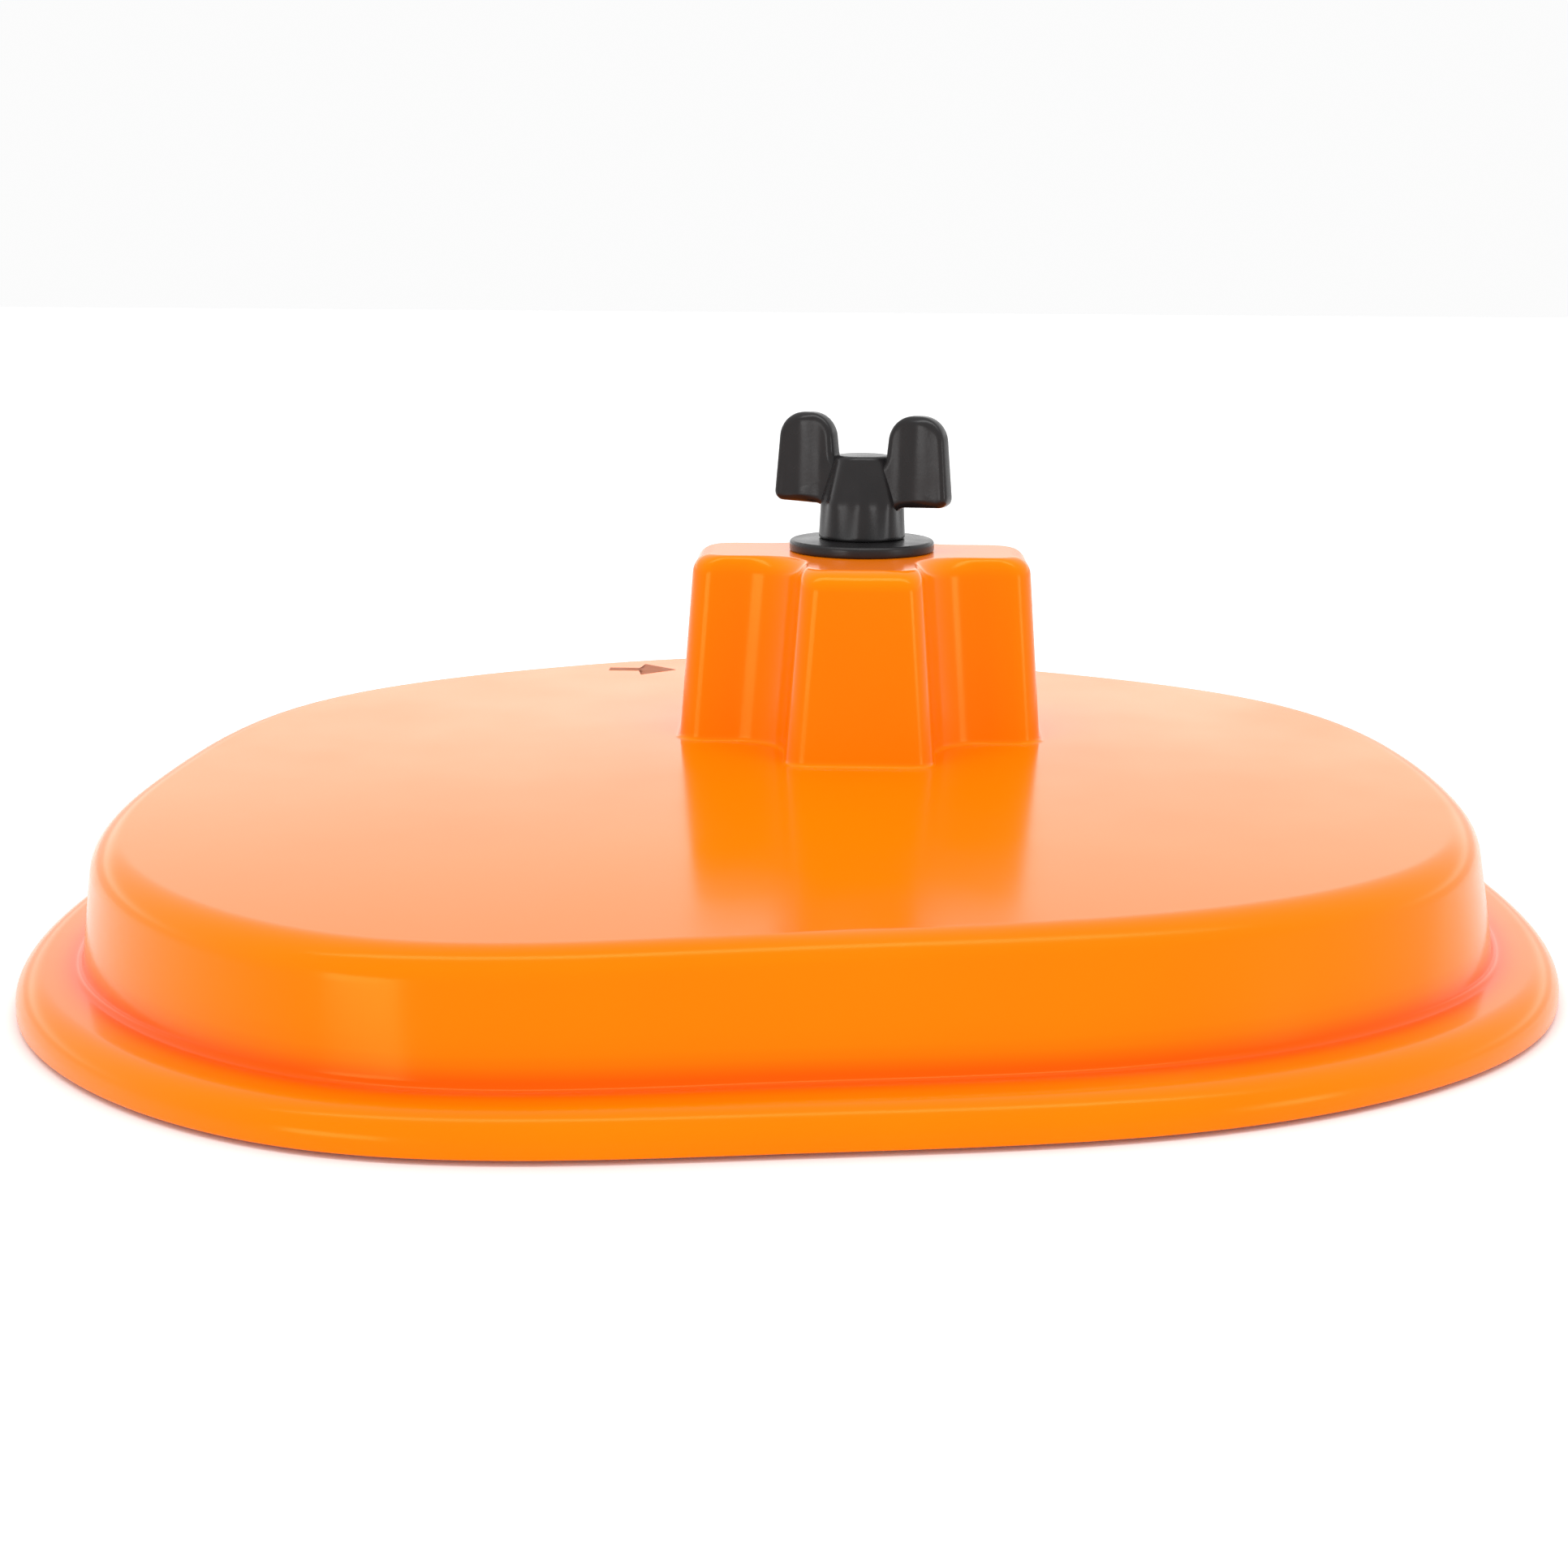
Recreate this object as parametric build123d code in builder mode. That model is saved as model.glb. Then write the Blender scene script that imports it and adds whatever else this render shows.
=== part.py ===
"""Wash cover for a motorcycle's air filter box, with its captive wing screw.

Millimetres, +Z up. The origin is on the wing screw's axis, in the plane that the cover stands on.
"""
from build123d import *
from math import cos, radians, sin, tan
import os

# Moulded cover, outside
foot_radius = 110.0        # mean distance from the outline's centre to the foot of the wall
outline_centre = (-11.7, -31.9)
outline_turn = 1.7         # degrees between the outline and the hub's arms
# shape of the outline: distance at each twelfth of a turn from +X, over foot_radius
outline_shape = (0.992, 1.0, 0.925, 0.929, 0.92, 0.96, 0.952, 1.045, 1.03, 0.89, 0.94, 1.03)
plate_top = 26.0           # height of the plate at the hub's axis, above the standing plane
plate_fall = 1.2           # degrees that the plate falls towards -Y
wall_lean = 2.4            # how far the wall leans in over its height
front_lean = 5.0           # extra lean where the front wall slopes most
front_lean_angle = 295.0   # direction of that slope
top_round = 5.0            # rounding between wall and plate
wall_thickness = 2.4
plate_thickness = 2.6
wall_root = 1.0            # how far the wall reaches down into the brim

# Brim and its seal
brim_width = 9.6
brim_thickness = 5.6
brim_round = 4.2
seal_proud = 0.6           # how far the seal stands out of the brim
seal_inset = 1.8           # from the foot of the wall to the seal's groove
seal_width = 4.6
groove_depth = 2.4
seal_gap = 0.1             # clearance of the seal in its groove
seal_round = 0.48

# Cross hub
hub_height = 31.2
arm_reach = 31.0           # from the axis to the end of an arm, at the plate
arm_width = 24.7           # at the plate
hub_draft = 4.3            # degrees
arm_corner = 4.0
hub_corner = 10.0          # rounding in the four inner corners
hub_top_round = 2.4
hub_wall = 2.6
hub_sink = 2.0             # how far the hub's outside reaches below the plate's height at the axis

# Screw boss inside the hub
screw_radius = 3.0
screw_clearance = 0.35
boss_radius = 6.2
boss_length = 24.0
rib_thickness = 2.0
boss_join = 1.0            # how far boss and ribs stay inside the hub's top and walls

# Seal, flange and wing head
hub_seal_radius = 8.0
hub_seal_thickness = 1.2
hub_seal_gap = 0.3
flange_radius = 12.5
flange_edge = 1.9
flange_rise = 1.1          # height of the conical top
flange_round = 0.5
head_base_radius = 7.4
head_top_radius = 4.5
head_height = 13.4
head_top_round = 0.9
head_sink = 1.4            # how far the wings' inner root lies below the head's top
wing_turn = -23.3          # degrees of the wings from +X at rest
wing_reach = 16.3
wing_inner = 5.6           # distance of the wing's inner edge from the axis
wing_under = 4.9           # height of the wing's lower edge above the flange
wing_height = 20.4
wing_thickness = 4.4
wing_root = 1.7            # height above the flange where the lower edge meets the head
wing_rise = 0.4            # how much the lower edge rises towards the tip
wing_tip_round = 4.8
wing_foot_round = 1.6
wing_edge_round = 1.2
# curve under the wing's root: distances outside the head's radius, and heights above the flange
wing_curl = ((-0.8, wing_root), (0.3, wing_under - 0.9), (2.6, wing_under))
embed_depth = 9.0          # how far the stud reaches into the head

# Stud and its retainer
stud_foot = 8.0            # lower end of the stud above the standing plane
stud_chamfer = 0.8
screw_lift = 13.0          # how far the screw pulls out before the washer meets the boss
washer_radius = 6.0
washer_thickness = 1.2
ring_radius = 5.0
ring_thickness = 0.9
ring_groove_depth = 0.5
ring_gap = 0.02            # fit of ring and washer on the stud
end_play = 0.3             # gap between head and flange, and under the stop

# Heights that follow
rim_bottom = seal_proud
brim_top = rim_bottom + brim_thickness
plate_under = plate_top - plate_thickness
hub_top = plate_top + hub_height
boss_bottom = hub_top - boss_length
flange_top = hub_top + flange_edge + flange_rise
bore_radius = screw_radius + screw_clearance
washer_top = boss_bottom - screw_lift - end_play
ring_top = washer_top - washer_thickness
lean_per_mm = tan(radians(hub_draft))
rib_length = 2 * (arm_reach - hub_height * lean_per_mm - boss_join)


def plate_plane(height):
    """Plane of the sloping plate at a height on the hub's axis."""
    return Plane((0, 0, height), x_dir=(1, 0, 0), z_dir=(0, -sin(radians(plate_fall)), cos(radians(plate_fall))))


def foot_distance(turn):
    """Distance from the outline's centre to the wall's foot at a twelfth of a turn."""
    return foot_radius * outline_shape[turn]


def lean_in(turn):
    """How far the plate's edge lies inside the wall's foot at a twelfth of a turn."""
    slope = max(0.0, cos(radians(30 * turn + outline_turn - front_lean_angle)))
    return wall_lean + front_lean * slope**4


def outline_point(turn, distance):
    """Point at a distance from the outline's centre, at a twelfth of a turn."""
    angle = radians(30 * turn + outline_turn)
    return (outline_centre[0] + distance * cos(angle), outline_centre[1] + distance * sin(angle))


def ring_points(offset, leaning=0.0):
    """Twelve points of the outline, offset outwards; leaning 1 gives the plate's edge."""
    return [outline_point(n, foot_distance(n) + offset - leaning * lean_in(n)) for n in range(12)]


def outline_face(offset, leaning=0.0):
    """Closed smooth outline as a face of the sketch that is being built."""
    with BuildLine() as edge:
        Spline(*ring_points(offset, leaning), periodic=True)
    make_face(edge.edges())


def cross_face(height, shrink):
    """Cross of the hub at a height above the plate, drawn in by shrink."""
    drawn_in = height * lean_per_mm + shrink
    length = 2 * (arm_reach - drawn_in)
    width = arm_width - 2 * drawn_in
    with BuildSketch(Plane.XY, mode=Mode.PRIVATE) as cross:
        Rectangle(length, width)
        Rectangle(width, length)
        corners = cross.vertices()
        inner = corners.filter_by(lambda corner: Vector(*corner).length < arm_reach * 0.75)
        fillet(inner, hub_corner + shrink)
        outer = cross.vertices().filter_by(lambda corner: Vector(*corner).length > arm_reach * 0.85)
        fillet(outer, max(arm_corner - shrink, 1.0))
    return cross.sketch


# Cover shell
with BuildPart() as cover_shell:
    with BuildSketch(Plane.XY.offset(rim_bottom)):
        outline_face(brim_width)
    extrude(amount=brim_thickness)
    fillet(cover_shell.edges().group_by(Axis.Z)[-1], brim_round)
    with BuildSketch(Plane.XY.offset(brim_top - wall_root)):
        outline_face(0.0)
    with BuildSketch(plate_plane(plate_top)):
        outline_face(0.0, 1.0)
    loft()
    fillet(cover_shell.faces().sort_by(Axis.Z)[-1].edges(), top_round)
    for height in (-hub_sink, hub_height):
        with BuildSketch(Plane.XY.offset(plate_top + height)):
            add(cross_face(height, 0.0))
    loft()
    fillet(cover_shell.faces().sort_by(Axis.Z)[-1].edges(), hub_top_round)
    # inside of the dome
    with BuildSketch(Plane.XY.offset(rim_bottom)):
        outline_face(-wall_thickness)
    with BuildSketch(plate_plane(plate_under)):
        outline_face(-wall_thickness, 1.0)
    loft(mode=Mode.SUBTRACT)
    # inside of the hub
    for height in (-plate_thickness - hub_sink, hub_height - hub_wall):
        with BuildSketch(Plane.XY.offset(plate_top + height)):
            add(cross_face(height, hub_wall))
    loft(mode=Mode.SUBTRACT)
    # screw boss with four ribs
    with BuildSketch(Plane.XY.offset(boss_bottom)):
        Circle(boss_radius)
        Rectangle(rib_length, rib_thickness)
        Rectangle(rib_thickness, rib_length)
    extrude(amount=boss_length - boss_join)
    with BuildSketch(Plane.XY.offset(boss_bottom)):
        Circle(bore_radius)
    extrude(amount=boss_length, mode=Mode.SUBTRACT)
    with BuildSketch(Plane.XY.offset(hub_top)):
        Circle(hub_seal_radius + hub_seal_gap)
    extrude(amount=-hub_seal_thickness, mode=Mode.SUBTRACT)
    # groove for the rim seal
    with BuildSketch(Plane.XY.offset(rim_bottom)) as groove:
        outline_face(seal_inset + seal_width)
        with BuildSketch(mode=Mode.SUBTRACT):
            outline_face(seal_inset)
    extrude(amount=groove_depth, mode=Mode.SUBTRACT)

cover_shell.part.label = "cover_shell"
os.makedirs("parts", exist_ok=True)
export_step(cover_shell.part, "parts/cover_shell.step")

# Rim seal
with BuildPart() as rim_seal:
    with BuildSketch(Plane.XY):
        outline_face(seal_inset + seal_width - seal_gap)
        with BuildSketch(mode=Mode.SUBTRACT):
            outline_face(seal_inset + seal_gap)
    extrude(amount=seal_proud + groove_depth - seal_gap)
    fillet(rim_seal.edges().group_by(Axis.Z)[0], seal_round)

# Rubber washer in the hub's recess
with BuildPart() as hub_seal:
    with BuildSketch(Plane.XY.offset(hub_top - hub_seal_thickness)):
        Circle(hub_seal_radius)
        Circle(bore_radius, mode=Mode.SUBTRACT)
    extrude(amount=hub_seal_thickness)

# Flange washer with a conical top
with BuildPart() as flange_washer:
    with BuildSketch(Plane.XZ):
        with BuildLine():
            Polyline(
                (bore_radius, hub_top),
                (flange_radius, hub_top),
                (flange_radius, hub_top + flange_edge),
                (head_base_radius, flange_top),
                (bore_radius, flange_top),
                close=True,
            )
        make_face()
    revolve(axis=Axis.Z)
    fillet(flange_washer.edges().filter_by(GeomType.CIRCLE).group_by(Axis.Z)[1], flange_round)

# Wing head: tapered hub and two wings
wing_plane = Plane((0, 0, flange_top), x_dir=(cos(radians(wing_turn)), sin(radians(wing_turn)), 0),
                   z_dir=(sin(radians(wing_turn)), -cos(radians(wing_turn)), 0))
with BuildPart() as wing_head:
    with BuildSketch(wing_plane) as wing:
        with BuildLine():
            curl = ThreePointArc(*[(head_base_radius + out, height) for out, height in wing_curl])
            root = Line((0, wing_root), curl @ 0)
            edge = Polyline(curl @ 1, (wing_reach, wing_under + wing_rise), (wing_reach, wing_height),
                            (wing_inner, wing_height), (wing_inner, head_height - head_sink))
            Polyline(edge @ 1, (0, head_height - head_sink), root @ 0)
        make_face()
        tips = wing.vertices().filter_by(lambda corner: corner.Y > wing_height - 0.01)
        fillet(tips, wing_tip_round)
        heel = wing.vertices().filter_by(lambda corner: abs(corner.X - wing_reach) < 0.01)
        fillet(heel.sort_by(Axis.Y)[0], wing_foot_round)
    extrude(amount=wing_thickness / 2, both=True)
    mirror(about=Plane((0, 0, 0), z_dir=wing_plane.x_dir))
    fillet(wing_head.edges().filter_by(lambda edge: edge.center().Z > flange_top + wing_root + 0.4), wing_edge_round)
    with BuildSketch(Plane.XZ) as head:
        with BuildLine():
            Polyline((0, flange_top), (head_base_radius, flange_top), (head_top_radius, flange_top + head_height),
                     (0, flange_top + head_height), close=True)
        make_face()
        fillet(head.vertices().sort_by(Axis.Y)[-2:].sort_by(Axis.X)[-1], head_top_round)
    revolve(axis=Axis.Z)
    with BuildSketch(Plane.XY.offset(flange_top)):
        Circle(screw_radius)
    extrude(amount=embed_depth, mode=Mode.SUBTRACT)

# Threaded stud with its head end moulded in and a groove for the retaining ring
with BuildPart() as screw_stud:
    with BuildSketch(Plane.XY.offset(stud_foot)):
        Circle(screw_radius)
    extrude(amount=flange_top + embed_depth - stud_foot)
    chamfer(screw_stud.edges().group_by(Axis.Z)[0], stud_chamfer)
    with BuildSketch(Plane.XY.offset(ring_top - ring_thickness)):
        Circle(screw_radius + 1.0)
        Circle(screw_radius - ring_groove_depth, mode=Mode.SUBTRACT)
    extrude(amount=ring_thickness, mode=Mode.SUBTRACT)

# Stop washer
with BuildPart() as stop_washer:
    with BuildSketch(Plane.XY.offset(ring_top)):
        Circle(washer_radius)
        Circle(screw_radius + ring_gap, mode=Mode.SUBTRACT)
    extrude(amount=washer_thickness)

# Retaining ring
with BuildPart() as retaining_ring:
    with BuildSketch(Plane.XY.offset(ring_top - ring_thickness)):
        Circle(ring_radius)
        Circle(screw_radius - ring_groove_depth + ring_gap, mode=Mode.SUBTRACT)
        with Locations((0, -ring_radius)):
            Rectangle(screw_radius, 2 * ring_radius, mode=Mode.SUBTRACT)
    extrude(amount=ring_thickness)

for piece, name in ((rim_seal, "rim_seal"), (hub_seal, "hub_seal"), (flange_washer, "flange_washer"),
                    (wing_head, "wing_head"), (screw_stud, "screw_stud"), (stop_washer, "stop_washer"),
                    (retaining_ring, "retaining_ring")):
    piece.part.label = name
    export_step(piece.part, f"parts/{name}.step")
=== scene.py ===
"""Looks of the air filter box wash cover, laid out as a Blender add-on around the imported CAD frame."""
from math import pi, radians, tan

import bpy
import numpy as np
from bpy.props import FloatProperty, FloatVectorProperty, PointerProperty
from mathutils import Matrix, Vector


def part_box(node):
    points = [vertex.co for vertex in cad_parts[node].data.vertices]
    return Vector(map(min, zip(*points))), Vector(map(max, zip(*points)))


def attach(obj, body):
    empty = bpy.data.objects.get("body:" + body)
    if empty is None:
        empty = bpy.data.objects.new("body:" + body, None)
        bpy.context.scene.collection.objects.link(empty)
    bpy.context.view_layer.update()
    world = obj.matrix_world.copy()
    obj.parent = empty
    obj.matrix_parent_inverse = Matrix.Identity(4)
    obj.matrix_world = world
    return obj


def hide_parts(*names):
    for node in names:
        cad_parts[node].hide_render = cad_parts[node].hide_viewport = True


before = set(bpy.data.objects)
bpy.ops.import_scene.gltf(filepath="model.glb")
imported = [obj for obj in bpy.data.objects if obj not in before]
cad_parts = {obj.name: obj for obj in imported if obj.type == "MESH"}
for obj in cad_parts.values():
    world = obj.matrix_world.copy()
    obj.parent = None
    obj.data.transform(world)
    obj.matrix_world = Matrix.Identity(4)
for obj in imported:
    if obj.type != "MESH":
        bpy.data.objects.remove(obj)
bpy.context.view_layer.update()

bl_info = {
    "name": "Wash Cover",
    "version": (1, 0, 0),
    "blender": (4, 5, 0),
    "location": "View3D > Sidebar > Wash Cover",
    "description": "Builds a moulded wash cover with its captive wing screw",
    "category": "Object",
}

MM = 0.001
# distance of the wall's foot at each twelfth of a turn, over the mean radius
OUTLINE_SHAPE = np.array((0.992, 1.0, 0.925, 0.929, 0.92, 0.96, 0.952, 1.045, 1.03, 0.89, 0.94, 1.03))
# samples on an eighth of the hub's cross: half an arm's end, outer corner, side, inner corner
CROSS_SAMPLES = (5, 12, 9, 18)
OUTLINE_SAMPLES = 160       # on each twelfth of the outline
# how closely the front wall's extra lean keeps to its direction
LEAN_FOCUS = 4
SMALLEST_ROUND = 0.8 * MM   # of a hub arm's corner inside
AXIS_RADIUS = 1e-6          # keeps a ring on the axis from shrinking to nothing
LONG_SIDE = 4               # sides longer than this many margins get a support ring
MIX_A, MIX_B, MIX_OUT = 6, 7, 2     # colour sockets of a Mix node
# rounding and steps of small edges
CRISP = (0.1 * MM, 1)
EASED = (0.2 * MM, 2)
BROKEN = (0.35 * MM, 3)
SOFT = (0.4 * MM, 3)
HOLLOW = (0.8 * MM, 3)

# the camera stands 0.42 m in front of the screw's axis and looks down by about 13 degrees
CAMERA_PLACE = (-0.0006, -0.4201, 0.1112)
CAMERA_YAW, CAMERA_DIP, CAMERA_ROLL = 0.03, 0.2239, 0.006
CAMERA_LENS, SENSOR_WIDTH = 55.9, 36.0      # millimetres
FLOOR_REACH = 3.0           # metres from the middle to the floor's edges
FLOOR_DROP = 0.1 * MM
SKY = 0.97                  # strength of the white surroundings
# name, place in metres, width and height in metres, power in watts
SOFTBOXES = (
    ("softbox_left", (-0.85, -1.24, 0.14), (0.55, 0.28), 2.3),
    ("softbox_right", (1.24, -0.84, 0.14), (0.32, 0.28), 1.4),
    ("softbox_above", (0.0, -0.3, 1.3), (1.3, 1.3), 26.0),
)

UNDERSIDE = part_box("cover_shell")[0].z
HUB_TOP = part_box("cover_shell")[1].z
SEAT_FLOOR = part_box("hub_seal")[0].z
FLANGE_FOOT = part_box("flange_washer")[0].z
FLANGE_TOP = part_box("flange_washer")[1].z
HEAD_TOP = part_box("wing_head")[1].z
STUD_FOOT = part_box("screw_stud")[0].z
RING_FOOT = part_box("retaining_ring")[0].z
RING_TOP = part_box("retaining_ring")[1].z


def length(name, description, millimetres):
    """A length property, given in millimetres and kept in metres."""
    return FloatProperty(name=name, description=description, default=millimetres * MM, unit="LENGTH",
                         precision=5)


def turn(name, description, degrees):
    """An angle property, given in degrees and kept in radians."""
    return FloatProperty(name=name, description=description, default=radians(degrees), subtype="ANGLE")


def linear(code):
    """sRGB hex colour as linear RGB with full alpha."""
    srgb = np.array([int(code[n:n + 2], 16) for n in (1, 3, 5)]) / 255
    return (*np.where(srgb <= 0.04045, srgb / 12.92, ((srgb + 0.055) / 1.055) ** 2.4), 1.0)


def colour(name, description, code):
    """A colour property, given as sRGB hex."""
    return FloatVectorProperty(name=name, description=description, default=linear(code), size=4,
                               subtype="COLOR", min=0.0, max=1.0)


class CoverSizes(bpy.types.PropertyGroup):
    """Sizes of the moulded cover."""
    foot_radius: length("Foot radius", "Mean distance of the wall's foot from the outline's centre", 110.0)
    centre_x: length("Centre X", "Outline's centre from the screw's axis along X", -11.7)
    centre_y: length("Centre Y", "Outline's centre from the screw's axis along Y", -31.9)
    outline_turn: turn("Outline turn", "Turn between outline and hub", 1.7)
    plate_fall: turn("Plate fall", "Slope of the plate towards -Y", 1.2)
    wall_lean: length("Wall lean", "How far the wall leans in over its height", 2.4)
    front_lean: length("Front lean", "Extra lean where the front wall slopes most", 5.0)
    front_turn: turn("Front direction", "Direction of the front wall's slope", 295.0)
    top_round: length("Top rounding", "Rounding between wall and plate", 5.0)
    # painted shade: how far the darker orange painted into the crease reaches from the wall's foot
    painted_shade_reach: length("Crease reach", "How far the deeper colour reaches from the wall's foot", 2.7)
    foot_round: length("Foot rounding", "Rounding between wall and brim", 1.3)
    wall: length("Wall thickness", "Thickness of the wall", 2.4)
    plate: length("Plate thickness", "Thickness of the plate", 2.6)
    brim_width: length("Brim width", "Width of the brim", 9.58)
    brim_height: length("Brim height", "Height of the brim", 5.6)
    brim_round: length("Brim rounding", "Rounding of the brim's outer edge", 4.2)
    groove_inner: length("Groove inset", "From the wall's foot to the seal's groove", 1.8)
    groove_width: length("Groove width", "Width of the seal's groove", 4.6)
    groove_depth: length("Groove depth", "Depth of the seal's groove", 2.4)
    hub_height: length("Hub height", "Height of the hub above the plate", 31.2)
    arm_reach: length("Arm reach", "Axis to the end of an arm, at the plate", 31.0)
    arm_width: length("Arm width", "Width of an arm at the plate", 24.7)
    hub_draft: turn("Hub draft", "Draft of the hub's sides", 4.3)
    arm_corner: length("Arm corner", "Rounding of an arm's upright edges", 4.0)
    hub_corner: length("Hub corner", "Rounding between two arms", 10.0)
    hub_round: length("Hub top rounding", "Rounding around the hub's top", 3.4)
    hub_foot: length("Hub foot rounding", "Rounding between hub and plate", 0.8)
    hub_wall: length("Hub wall", "Thickness of the hub's walls", 2.6)
    seat_radius: length("Seat radius", "Radius of the seal's seat in the hub's top", 8.3)
    boss_radius: length("Boss radius", "Radius of the screw boss", 6.2)
    boss_length: length("Boss length", "Length of the screw boss", 24.0)
    bore_radius: length("Bore radius", "Radius of the boss's bore", 3.35)
    rib: length("Rib thickness", "Thickness of the boss's ribs", 2.0)


class ScrewSizes(bpy.types.PropertyGroup):
    """Sizes of the wing screw."""
    flange_radius: length("Flange radius", "Radius of the flange washer", 12.48)
    flange_edge: length("Flange edge", "Height of the flange's edge", 1.9)
    flange_height: length("Flange height", "Height of the flange where it meets the head", 2.15)
    flange_bore: length("Flange bore", "Radius of the flange's bore", 3.35)
    head_base: length("Head base", "Radius of the head at the flange", 7.4)
    head_top: length("Head top", "Radius of the head's top", 4.7)
    head_height: length("Head height", "Height of the head above the flange", 13.4)
    wing_turn: turn("Wing turn", "Turn of the wings from +X at rest", -23.3)
    wing_reach: length("Wing reach", "Axis to a wing's outer edge at its foot", 16.2)
    wing_flare: length("Wing flare", "How much nearer the outer edge is at the wing's top", 1.3)
    wing_inner: length("Wing inner edge", "Axis to a wing's inner edge", 5.6)
    wing_under: length("Wing underside", "Height of a wing's lower edge above the flange", 4.8)
    wing_thick: length("Wing thickness", "Thickness of a wing", 4.6)
    wing_rise: length("Wing rise", "How much a wing's lower edge rises towards its outer edge", 0.3)
    wing_tip: length("Wing tip rounding", "Rounding of a wing's top", 4.5)
    wing_foot: length("Wing foot rounding", "Rounding of a wing's lower outer corner", 1.6)
    wing_root: length("Wing root rounding", "Rounding between a wing's lower edge and the head", 1.8)
    wing_edge: length("Wing edge rounding", "Rounding around a wing's faces", 1.4)
    flute: length("Flute depth", "Depth of the shallow upright flutes", 0.22)
    stud_radius: length("Stud radius", "Outer radius of the stud", 3.0)
    thread_pitch: length("Thread pitch", "Pitch of the stud's thread", 1.0)
    thread_depth: length("Thread depth", "Depth of the stud's thread", 0.55)
    ring_groove: length("Ring groove", "Depth of the retaining ring's groove", 0.5)


class Finishes(bpy.types.PropertyGroup):
    """Colours of the moulded and plated surfaces."""
    plastic: colour("Cover plastic", "Colour of the moulded cover", "#FC7F00")
    # painted shade: a deeper orange painted into the crease at the wall's foot, where little light reaches
    plastic_painted_shade: colour("Cover plastic, crease", "Colour in the crease at the wall's foot", "#F25400")
    plastic_deep: colour("Cover plastic, deep", "Colour where the plastic flowed last", "#FB7700")
    nylon: colour("Nylon", "Colour of wings and flange", "#171617")
    nylon_worn: colour("Nylon, rubbed", "Colour of rubbed nylon", "#201F20")
    rubber: colour("Rubber", "Colour of the seals", "#1A1A1C")
    zinc: colour("Zinc", "Colour of the plated steel", "#C3C6C9")
    zinc_dull: colour("Zinc, dull", "Colour of dulled plating", "#A3A39A")
    spring: colour("Spring steel", "Colour of the retaining ring", "#55575B")
    ink: colour("Ink", "Colour of the printed mark", "#A0521C")
    floor: colour("Floor", "Colour of the floor", "#FFFFFF")


# ---------------------------------------------------------------- surfaces

def ring(flat, height):
    """A ring of points: flat X and Y with a height, or heights, as Z."""
    return np.column_stack((flat, np.broadcast_to(height, len(flat))))


def circle(radius, angles):
    """Points at a radius, or a column of radii, and given angles."""
    return radius * np.column_stack((np.cos(angles), np.sin(angles)))


def rounded(corners, closed=True, margin=0.4 * MM):
    """Rings along a profile of corner rings, each corner rounded by a circular arc.

    A corner of radius 0 stays as it is. At a corner C with neighbours A and B the arc touches both sides at
    distance r tan(turn / 2) from C; its points are the rational quadratic blend of the two touching points
    and C with weight cos(turn / 2). A support ring stands a margin away from each touching point on long
    sides.
    """
    rings = []
    count = len(corners)
    for n, (here, radius, steps) in enumerate(corners):
        if radius == 0 or (not closed and n in (0, count - 1)):
            rings.append(here)
            continue
        sides = [corners[(n + step) % count][0] - here for step in (-1, 1)]
        spans = [np.linalg.norm(side, axis=1, keepdims=True) for side in sides]
        back, ahead = (side / span for side, span in zip(sides, spans))
        bend = np.pi - np.arccos(np.clip((back * ahead).sum(1, keepdims=True), -1, 1))
        reach = radius * np.tan(bend / 2)
        start, end = here + back * reach, here + ahead * reach
        if np.median(spans[0]) > LONG_SIDE * margin:
            rings.append(start + back * margin)
        for part in np.linspace(0, 1, steps + 1):
            weights = (1 - part) ** 2, 2 * part * (1 - part) * np.cos(bend / 2), part**2
            rings.append((weights[0] * start + weights[1] * here + weights[2] * end) / sum(weights))
        if np.median(spans[1]) > LONG_SIDE * margin:
            rings.append(end + ahead * margin)
    return np.array(rings)


def skinned(rings, closed):
    """Points, quads and fan triangles of a stack of rings.

    Vertex (i, j) is point j of ring i; quads join neighbours, and an open stack gets a fan at each end. The
    signed volume, a sixth of the sum of the triangles' triple products, turns the faces outwards.
    """
    rows, columns = rings.shape[:2]
    points = rings.reshape(-1, 3)
    index = np.arange(rows * columns).reshape(rows, columns)
    near, far = (index, np.roll(index, -1, axis=0)) if closed else (index[:-1], index[1:])
    quads = np.stack((near, np.roll(near, -1, axis=1), np.roll(far, -1, axis=1), far), axis=-1).reshape(-1, 4)
    fans = np.empty((0, 3), int)
    if not closed:
        points = np.vstack((points, rings[0].mean(axis=0), rings[-1].mean(axis=0)))
        first, last = index[0], index[-1]
        foot = np.column_stack((np.roll(first, -1), first, np.full(columns, len(points) - 2)))
        head = np.column_stack((last, np.roll(last, -1), np.full(columns, len(points) - 1)))
        fans = np.vstack((foot, head))
    triangles = np.vstack((quads[:, :3], quads[:, [0, 2, 3]], fans))
    a, b, c = (points[triangles[:, n]] for n in range(3))
    if (np.cross(a, b) * c).sum() < 0:
        quads, fans = quads[:, ::-1], fans[:, ::-1]
    return points, quads, fans


def mesh_piece(name, *stacks, closed=False):
    """One smooth object from one or more stacks of rings."""
    points, faces, start = [], [], 0
    for rings in stacks:
        some, quads, fans = skinned(rings, closed)
        points.append(some)
        faces += (quads + start).tolist() + (fans + start).tolist()
        start += len(some)
    mesh = bpy.data.meshes.new(name)
    mesh.from_pydata(np.vstack(points), [], faces)
    mesh.shade_smooth()
    piece = bpy.data.objects.new(name, mesh)
    bpy.context.collection.objects.link(piece)
    return piece


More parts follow.
